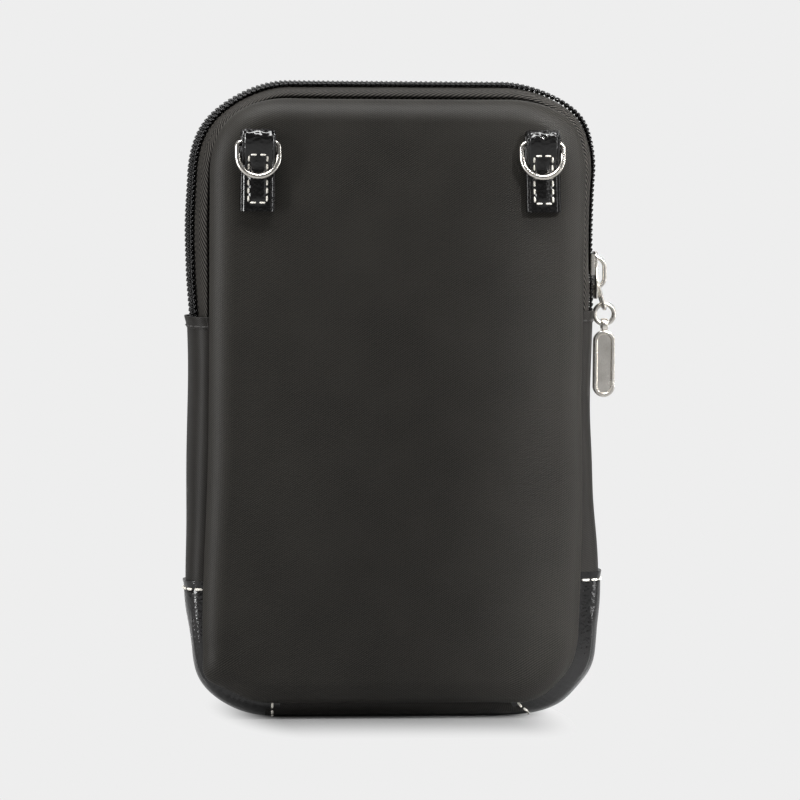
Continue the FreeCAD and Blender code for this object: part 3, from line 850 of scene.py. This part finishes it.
def zip_hem(hand, side):
    """Folded end of the gusset cloth over the end of the zip, which lifts at its free edge."""
    edge = zip_start if side < 0 else zip_end
    lap = hem_laps[hand]
    to_edge = np.linspace(lap - hem_height, lap, 14)[::-side]
    depth, level = arch(seam_depth - seam_sink + hem_widening, shoulder, hem_leg)
    lift = hem_level + hem_lifts[hand] * smooth(to_edge, lap - hem_height, lap) ** 1.5
    part, _ = strip(edge - side * to_edge, depth, level + lift[:, None], hem_thickness)
    name = f"zip_hem_{hand}_fold"
    made = piece(name, [part], gusset_cloth, (f"zip_hem_{hand}",), bevel=0.18)

    row = place(edge + side * (hem_height - lap - hem_seam_inset), depth, level + hem_seam_level)
    across = running(row)

    def line(share, height):
        return at_length(row, across, share + across[-1] / 2) + np.outer(height, (side, 0.0, 0.0))

    beads = thread_row(line, spaced(9, hem_stitch_spacing), length=2.2, width=0.5)
    return made, piece(name + "_stitches", beads, black_thread)


gusset_lining()
corner_patch("left", -1)
corner_patch("right", 1)
left_hem = zip_hem("left", -1)
right_hem = zip_hem("right", 1)
gusset("gusset_left_cloth", patch_run - patch_lap, zip_start, "gusset_left")
gusset("gusset_right_cloth", zip_end, right_end - patch_run + patch_lap, "gusset_right")
gusset("gusset_base_cloth", base_start - base_lap, base_end + patch_lap, "gusset_bottom")


# Zip chain


def chain_place(distance, depth, level):
    """Depth and level beside the zip's chain: turned by the chain's tilt, which is largest on the left side,
    shifted towards the ring side there, and drawn in where the zip ends under its hems."""
    lean = smooth(distance, top_end - top_side, left_end)
    tilt = left_tilt * lean + top_tilt * (1 - lean) * (1 - smooth(distance, top_end, right_start))
    near_end = np.minimum(distance - zip_start, zip_end - distance)
    dive_length = np.where(distance < top_start, left_dive_length, right_dive_length)
    dive = end_dive * (1 - smooth(near_end, dive_start, dive_length))
    above = level - chain_level
    turned_depth = depth * np.cos(tilt) - above * np.sin(tilt) + left_shift * lean
    turned_level = depth * np.sin(tilt) + above * np.cos(tilt) + chain_level - dive
    return turned_depth, turned_level


def parted(distance):
    """How far each row stands aside below the slider's wide end, where the zip is open."""
    wide_top = slider_foot + part_start - fold_height
    return part_reach * (1 - smooth(zip_end - distance, wide_top, wide_top + part_length))


def zip_coil(half, side, body):
    """One row of the coil: a filament in loops about a cord of thread, each across the chain on top and back
    beneath, stepping on by a pitch at its outer side; the rows mesh half a pitch apart."""
    count = int((zip_end - zip_start) / tooth_pitch) - 1
    samples = 18
    turn = np.arange(count * samples + 1) / samples
    share = turn - np.floor(turn)
    step = np.floor(turn) + coil_step_share * smooth(share, *coil_step_fades) + (1 - coil_step_share) * share
    offset = 0.5 if side > 0 else 0.0
    distance = zip_start + (first_loop + offset + step) * tooth_pitch
    around = 2 * math.pi * share
    depth = side * (coil_middle - coil_half_width * np.cos(around) + parted(distance))
    level = chain_level + coil_half_height * np.sin(around)
    beside = chain_place(distance, depth, level)
    path = place(distance, *beside)
    ahead = place(distance + 0.1, *beside) - path
    loops = swept(path, unit(ahead), rounded(filament / 2, filament / 2, 7))

    distance = np.linspace(zip_start - 1, zip_end + 1, 300)
    depth = side * (coil_middle + cord_shift + parted(distance))
    path = place(distance, *chain_place(distance, depth, chain_level))
    cord = swept(path, (0.0, 1.0, 0.0), rounded(cord_half_width, cord_half_height, 8))
    piece(f"zip_coil_{half}_filament", [loops, cord], monofilament, (f"zip_coil_{half}",),
          body, sharp=180.0)


def zip_tape(half, side, body):
    """Half of the zip tape: flat under its row of coil, then over a rolled shoulder on a cubic curve that
    leaves along the tape and turns back under the panel's edge, with a crevice there. Its leg then turns out
    into the panel's seam."""
    distance = np.linspace(zip_start - tape_overlap, zip_end + tape_overlap, 320)[:, None]
    flat = side * (tape_edge + parted(distance) + np.linspace(0, 1, 6) * (tape_flat - tape_edge))
    flat_depth, flat_level = chain_place(distance, flat, tape_level)
    ahead = np.stack(chain_place(distance, flat[:, -1:] + side, tape_level), -1)
    start = joined(flat_depth[:, -1:], flat_level[:, -1:])
    leaving = (ahead - start) * tape_leaving
    end = np.array([side * (seam_depth - tape_sink), -tape_drop])
    arriving = np.array([-side * tape_turn, -tape_fall])
    share = np.linspace(0, 1, 22)[1:][None, :, None]
    curve = ((2 * share ** 3 - 3 * share ** 2 + 1) * start + (share ** 3 - 2 * share ** 2 + share) * leaving
             + (3 * share ** 2 - 2 * share ** 3) * end + (share ** 3 - share ** 2) * arriving)
    leg = np.broadcast_to(end + np.array(tape_legs) * (side, 1), (len(distance), len(tape_legs), 2))
    depth = np.concatenate([flat_depth, curve[..., 0], leg[..., 0]], 1)[:, ::side]
    level = np.concatenate([flat_level, curve[..., 1], leg[..., 1]], 1)[:, ::side]
    outer = place(distance, depth, level)
    across = running(outer[len(distance) // 2])
    if side < 0:
        across = across[-1] - across
    lay = joined(distance, across)
    part = shell(outer, tape_thickness, lay)
    made = piece(f"zip_tape_{half}_cloth", [part], tape_cloth, (f"zip_tape_{half}",), body)


for half, side, body in (("back", -1, "pouch"), ("front", 1, None)):
    zip_coil(half, side, body)
    zip_tape(half, side, body)


# Slider and pull


def eased(length, radius):
    """Rise of a quarter circle over a length from an end, from 0 to 1."""
    return np.sqrt(1 - (1 - np.clip(length / radius, 0, 1)) ** 2)


def slider_plate(low_level, high_level):
    """Plate of the slider: an oblong section, wide at the foot, narrow at the top and eased at its ends."""
    share = np.linspace(0, 1, 40)
    height = slider_foot + share * (slider_top - slider_foot)
    to_end = np.minimum(share, 1 - share) * (slider_top - slider_foot)
    half = slider_wide + (slider_narrow - slider_wide) * smooth(share, *slider_fades)
    half = half - slider_corner * (1 - eased(to_end, slider_corner))
    thick = (high_level - low_level) / 2 * (1 - plate_thinning * (1 - eased(to_end, plate_ease)))
    path = joined(half_width + (low_level + high_level) / 2, 0.0, height)
    section = rounded(1.0, 1.0, 32, 0.35) * joined(thick, half)[:, None]
    return swept(path, (1.0, 0.0, 0.0), section)


def slider():
    """Zip slider: outer plate, side flanges along its narrow end, neck, and the keel inside the pouch."""
    parts = [slider_plate(*plate_levels), slider_plate(*keel_levels)]
    heights = np.linspace(slider_top - flange_length, slider_top - flange_end, 12)
    for side in (-1, 1):
        path = joined(half_width + flange_level, side * flange_place, heights)
        parts.append(swept(path, (1.0, 0.0, 0.0), rounded(0.75, 0.4, 16, 0.5)))
    neck = joined(half_width + np.linspace(*neck_levels, 6), 0.0, slider_foot + neck_height)
    parts.append(swept(neck, (0.0, 1.0, 0.0), rounded(0.3, 1.8, 16, 0.7)))
    piece("zip_slider_body", parts, nickel, ("zip_slider",), "slider", sharp=50.0)


def bail():
    """Bail on the slider: a flat band bent to an arch, broad at its top and narrower at its foot."""
    inner = bail_thickness / 2
    bend = bail_corner - inner
    level = bail_reach - bail_corner
    low_bend = arc(level, bail_foot + bail_corner, bend, -90, 0, 14)
    high_bend = arc(level, bail_top - bail_corner, bend, 0, 90, 14)
    end = plate_levels[1] - bail_sink
    line = np.vstack([[end, bail_foot + inner], low_bend, high_bend, [end, bail_top - inner]])
    path = joined(half_width + line[:, 0], 0.0, line[:, 1])
    part = swept(path, (0.0, 1.0, 0.0), rounded(bail_width / 2, inner, 20, 0.55))
    piece("slider_bail_band", [part], nickel, ("slider_bail",), "slider", sharp=60.0)


def even_path(points, count):
    """Closed path through points, at even steps."""
    ring = np.vstack([points, points[:1]])
    lengths = running(ring)
    return at_length(ring, lengths, np.linspace(0, lengths[-1], count, endpoint=False))


def wire_loop(name, path, facing, wire, sides, node_name, body):
    """Closed loop of round wire."""
    part = swept(path, facing, rounded(wire / 2, wire / 2, sides), loop=True)
    piece(name, [part], nickel, (node_name,), body, sharp=180.0)


def link():
    """Narrow wire link that hangs from the bail: a closed oblong, edge-on from the back, whose corners are
    rounded by quarter circles."""
    side = np.array([0.0, link_half_width, 0.0])
    corners = [link_pivot - side, link_pivot + side, link_foot + side, link_foot - side]
    turn = np.linspace(0, math.pi / 2, 8)[:, None]
    bends = []
    for before, here, after in zip(corners[-1:] + corners, corners, corners[1:] + corners):
        start = here + unit(before - here) * link_corner
        end = here + unit(after - here) * link_corner
        centre = start + end - here
        bends.append(centre + (start - centre) * np.cos(turn) + (end - centre) * np.sin(turn))
    facing = np.cross(unit(link_foot - link_pivot), unit(side))
    path = even_path(np.concatenate(bends), 72)
    wire_loop("pull_link_wire", path, facing, link_wire, 12, "pull_link", "link")


def jump_ring():
    """Round ring on the link: a circle of wire in the plane of the pouch."""
    cosine, sine = ring_radius * rounded(1, 1, 72).T
    path = ring_middle + joined(cosine, 0.0, sine)
    wire_loop("pull_ring_wire", path, (0.0, 1.0, 0.0), ring_wire, 16, "pull_ring", "jump_ring")


def pull_tab():
    """Plain oblong bar with round ends, a rim round a shallow recess on both faces, and an eye at its top.
    Each ring of the bar lies at a radius from the bar's middle line."""
    face = tab_thickness / 2
    rim = tab_radius - tab_rim
    recess = ((0.0, face - tab_recess), (rim - recess_slope, face - tab_recess),
              (rim, face - tab_recess / 2), (rim + recess_slope, face))
    profile = np.vstack([recess, arc(tab_radius - tab_edge, face - tab_edge, tab_edge, 90, 0, 7)])
    radius, depth = np.vstack([profile * (1, -1), profile[::-1]]).T[..., None]
    cosine, sine = rounded(1, 1, 96).T
    middle = tab_foot + tab_length / 2 + (tab_length / 2 - tab_radius) * np.where(sine >= 0, 1, -1)
    points = joined(ring_middle[0] + radius * cosine, depth, middle + radius * sine)
    faces = grid_faces(*points.shape[:2], ring=True)[:, ::-1]
    bar = (points.reshape(-1, 3), [faces], np.zeros((points.size // 3, 2)))
    cosine, sine = eye_ring_radius * rounded(1, 1, 48).T
    path = joined(ring_middle[0], cosine, eye_height + sine)
    eye = swept(path, (1.0, 0.0, 0.0), rounded(eye_half_width, eye_half_wall, 16, 0.5), loop=True)
    piece("pull_tab_bar", [bar, eye], nickel, ("pull_tab",), "tab", sharp=35.0)


slider()
bail()
link()
jump_ring()
pull_tab()


# Strap tabs and D-rings


def strap_tab(hand, side):
    """Leather strap folded round the ring's bar and sewn flat: a flat section carried up the front layer,
    over the bar and down the back layer, with creased edges and a crown inside the box of stitches.
    The front layer thins towards its outer edge, so that it faces a little outwards."""
    centre, skew = side * strap_place, strap_skews[hand]
    half = strap_thickness / 2
    back_depth = -face_depth - half
    front_depth = back_depth - strap_thickness
    loop_radius = loop_outside - half
    loop_depth = back_depth - loop_radius
    rise = np.linspace(strap_foot, loop_height, 60)
    lean = smooth(rise, strap_fold_foot - strap_fold_ease, loop_height)
    front = joined(front_depth + (loop_depth - loop_radius - front_depth) * lean, rise)
    loop = arc(loop_depth, loop_height, loop_radius, 180, 0, 30)
    back = joined(back_depth, np.linspace(loop_height, strap_foot, 20))
    path = np.insert(np.concatenate([front[:-1], loop, back[1:]]), 0, centre, axis=1)

    across = np.linspace(-1, 1, 61)
    flat = half * np.sqrt(1 - np.abs(across) ** strap_edge_power)
    x = strap_half_width * across
    length = running(path)[:, None]
    on_front = 1 - smooth(np.arange(len(path)), len(front) - 2, len(front) + 4)[:, None]
    in_box = between(path[:, 2:], *box_span) * on_front
    crowned = box_crown * np.clip(1 - (x / box_half_width) ** 2, 0, 1) + bell(np.abs(x), *box_groove)
    puckers = np.sin(length * pucker_rate + pucker_drift * np.sin(x * pucker_drift_rate + side))
    outer = (flat + bell(np.abs(x), *crease_bell) + in_box * crowned + puckers * bell(length, *pucker_bell)
             - side * strap_facing * x * on_front)
    heights = np.hstack([outer, np.broadcast_to(-flat, outer.shape)[:, ::-1]])
    section = joined(np.concatenate([x, x[::-1]]), -heights)
    points, faces, lay = swept(path, (1.0, 0.0, 0.0), section)
    points[:, 0] += skew * np.clip(bar_height - points[:, 2], 0, None)
    made = piece(f"strap_tab_leather_{hand}", [(points, faces, lay)], leather,
                 (f"strap_tab_{hand}",), sharp=50.0)

    def raised(x, z, height):
        """Points across and up the front layer, at a height above it."""
        depth = np.interp(z, rise, front[:, 0]) - half - height
        shift = skew * np.clip(bar_height - z, 0, None)
        return joined(centre + x + shift, depth, z)

    box_height = box_high - box_low
    beads = []
    for x in (-box_half_width, box_half_width):
        beads += thread_row(lambda z, height: raised(x, z, height),
                            box_low + box_height / 2 + spaced(6, box_height / 6), length=1.6, width=0.55)
    for z in (box_low, box_high):
        beads += thread_row(lambda x, height: raised(x, z, height + box_press),
                            spaced(2, box_half_width), length=1.7, width=0.55)
    sewn = piece(f"strap_tab_stitches_{hand}", beads, white_thread)


def d_ring(hand, side):
    """D-shaped ring of round wire: a straight bar in the strap's loop, rounded corners, and a half circle
    below, which leans against the front of the strap."""
    drop = math.hypot(bow_fall, bow_reach)
    down = np.array([0.0, -bow_reach, -bow_fall]) / drop
    across = np.array([1.0, 0.0, 0.0])
    middle = np.array([side * strap_place, bar_depth, bar_height])
    half, corner = d_ring_half_width, d_ring_corner
    bend = arc(half - corner, corner, corner, -90, 0, 12)
    bow = arc(0.0, drop - half, half, 0, 180, 50)
    flat = np.concatenate([bend, bow, bend[::-1] * (-1, 1)])
    path = even_path(middle + flat[:, :1] * across + flat[:, 1:] * down, 150)
    facing = np.cross(down, across)
    wire_loop(f"d_ring_wire_{hand}", path, facing, d_ring_wire, 16, f"d_ring_{hand}", f"{hand}_ring")


for hand, side in (("left", -1), ("right", 1)):
    strap_tab(hand, side)
    d_ring(hand, side)


# Floor, light and camera

picture_width = 234.0
camera_distance = 2600.0
camera_azimuth = math.radians(-8.3)
camera_elevation = math.radians(3.2)
camera_roll = math.radians(0.5)
camera_target = np.array([3.1, 0.0, 92.3])
floor_front = -1600.0
floor_back = 700.0
floor_bend = 300.0
floor_top = 1500.0
floor_half_width = 1600.0
plain_colour = "#eeeeee"
mirror_share = 0.28
room_mirror_share = 0.03  # the dark side of the room, behind the camera
pouch_middle = (0.0, 0.0, 95.0)
# Each lamp's name, place, aim, width, height, power and spread; a grid on a soft box narrows its spread
lamps = (("overhead", (-20, -130, 480), (0, -20, 150), 360, 120, 2.0, 180),
         ("rear_top", (0, 420, 520), (0, -60, 0), 700, 300, 1.0, 180),
         ("left_box", (-420, -170, 170), pouch_middle, 80, 420, 2.0, 180),
         ("right_box", (430, -75, 180), pouch_middle, 60, 380, 0.6, 180),
         ("right_front", (240, -330, 330), (84, -15, 112), 40, 300, 0.16, 15),
         ("right_strip", (330, -330, 120), (58, -8, 40), 14, 230, 0.06, 180))


def plainly_seen(add, mirrored_share):
    """How far a ray sees a plain colour: fully from the camera or through clear things, less in mirrors."""
    path = add("LightPath", {})
    mirrored = add("Math", {0: path["Is Glossy Ray"], 1: mirrored_share}, operation="MULTIPLY")[0]
    seen = add("Math", {0: path["Is Camera Ray"], 1: mirrored}, operation="MAXIMUM")[0]
    return add("Math", {0: seen, 1: path["Is Transmission Ray"]}, operation="MAXIMUM")[0]


def pale_floor():
    """Floor and backdrop in one sweep: flat under the pouch and bent up behind it by a quarter circle."""
    bend = arc(floor_back, floor_bend, floor_bend, -90, 0, 16)
    line = np.vstack([[floor_front, 0.0], bend, [floor_back + floor_bend, floor_top]])
    points = np.zeros((len(line), 2, 3))
    points[..., 0] = [-floor_half_width, floor_half_width]
    points[..., 1:] = line[:, None]
    faces = grid_faces(len(line), 2)[:, ::-1]
    mesh = bpy.data.meshes.new("floor")
    mesh.from_pydata((points.reshape(-1, 3) * MILLIMETRE).tolist(), [], faces.tolist())
    mesh.shade_smooth()
    floor = bpy.data.objects.new("floor", mesh)
    bpy.context.scene.collection.objects.link(floor)

    # Matt pale board. The camera and mirrors see its plain colour, and near the pouch a darker matt grey lit
    # by the lamps that fades into it. There it shows real shade, deepened by a painted contact shadow: the
    # darker grey that the fade lays under the base. Other rays find it dim, so that it throws little light
    # back up the pouch
    board = bpy.data.materials.new("board_pale_painted_shadow")
    add = emptied(board)
    sides = add("SeparateXYZ", {0: add("TexCoord", {})["Object"]})
    aside = add("Math", {0: sides[0]}, operation="ABSOLUTE")[0]
    beyond = add("MapRange", {"Value": aside, "From Min": 0.032, "From Max": 1.032, "To Max": 4.0})[0]
    bent = add("CombineXYZ", {0: beyond, 1: sides[1], 2: sides[2]})[0]
    painted_shadow_distance = add("VectorMath", {0: bent}, operation="LENGTH")["Value"]
    # Fade of the painted contact shadow: full within 5 mm of the base, gone by 80 mm, sooner at the sides
    painted_shadow_fade = add("MapRange", {"Value": painted_shadow_distance, "From Min": 0.005, "From Max": 0.08},
              interpolation_type="SMOOTHSTEP")[0]
    seen = plainly_seen(add, mirror_share)
    share = add("Math", {0: painted_shadow_fade, 1: seen}, operation="MULTIPLY")[0]
    # The camera sees the board as #878787, darker than the #b8b8b8 that other rays see: painted shade near
    # the base
    colour = add("Mix", {0: seen, 6: linear("#b8b8b8"), 7: linear("#878787")}, data_type="RGBA")[2]
    matt = add("BsdfDiffuse", {"Color": colour})[0]
    plain = add("Emission", {"Color": linear(plain_colour), "Strength": 1.0})[0]
    both = add("MixShader", {0: share, 1: matt, 2: plain})[0]
    # Clear from its rear, so that the pouch also shows from behind the backdrop
    rear = add("NewGeometry", {})["Backfacing"]
    clear = add("BsdfTransparent", {})[0]
    one_sided = add("MixShader", {0: rear, 1: both, 2: clear})[0]
    add("OutputMaterial", {"Surface": one_sided})
    mesh.materials.append(board)


def soft_light(name, where, aim, width, height, power, spread):
    """Soft box: an oblong lamp at a place, turned to what it aims at."""
    lamp = bpy.data.lights.new(name, "AREA")
    lamp.shape = "RECTANGLE"
    lamp.size, lamp.size_y = metres(width, height)
    lamp.energy = power
    lamp.spread = math.radians(spread)
    made = bpy.data.objects.new(name, lamp)
    made.location = Vector(where) * MILLIMETRE
    made.rotation_euler = (Vector(aim) - Vector(where)).to_track_quat("-Z", "Y").to_euler()
    bpy.context.scene.collection.objects.link(made)


def dim_room():
    """A room that is dim for all but the camera, which sees it as pale as the backdrop."""
    world = bpy.data.worlds.new("dim_room")
    add = emptied(world)
    seen = plainly_seen(add, room_mirror_share)
    room = add("Background", {"Color": linear("#c8c8c8"), "Strength": 0.16})[0]
    plain = add("Background", {"Color": linear(plain_colour), "Strength": 1.0})[0]
    both = add("MixShader", {0: seen, 1: room, 2: plain})[0]
    add("OutputWorld", {"Surface": both})
    bpy.context.scene.world = world


def photo_camera():
    """Camera at the photograph's angle, on a long lens."""
    back = np.array([math.sin(camera_azimuth) * math.cos(camera_elevation),
                     -math.cos(camera_azimuth) * math.cos(camera_elevation), math.sin(camera_elevation)])
    lens = bpy.data.cameras.new("photo_camera")
    lens.sensor_width = 36.0
    lens.lens = lens.sensor_width * camera_distance / picture_width
    lens.clip_end = 20.0
    camera = bpy.data.objects.new("photo_camera", lens)
    camera.location = Vector(camera_target + back * camera_distance) * MILLIMETRE
    level = Vector(-back).to_track_quat("-Z", "Y")
    camera.rotation_euler = (level @ Quaternion((0, 0, 1), camera_roll)).to_euler()
    bpy.context.scene.collection.objects.link(camera)
    bpy.context.scene.camera = camera


pale_floor()
for lamp in lamps:
    soft_light(*lamp)
dim_room()
photo_camera()
bpy.context.scene.view_settings.view_transform = "Standard"
